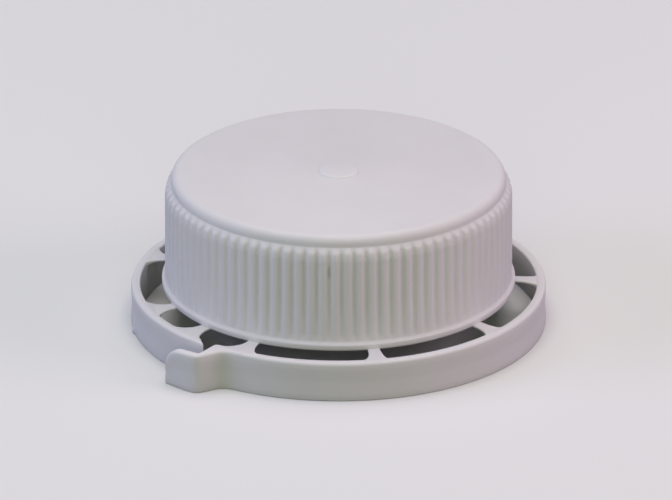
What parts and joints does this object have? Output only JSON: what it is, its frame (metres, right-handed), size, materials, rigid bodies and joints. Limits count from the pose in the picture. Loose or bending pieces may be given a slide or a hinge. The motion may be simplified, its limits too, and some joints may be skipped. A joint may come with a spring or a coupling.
{
  "type": "tamper evident screw cap",
  "caption": "Round ribbed screw cap moulded in one piece with a tear-off ring on break-away webs and a pull tab at the ring's cut.",
  "frame": {"origin": "on the cap's axis, in the plane that the foot of the tear-off ring stands on", "axes": "+Z along the cap's axis towards its closed top; -Y towards the front, with the pull tab at the front left (-X)"},
  "size_m": [0.0503, 0.0502, 0.0196],
  "materials": {
    "white_plastic": "satin, as moulded"
  },
  "bodies": {
    "root": {"screw_cap": "white_plastic"}
  },
  "joints": []
}
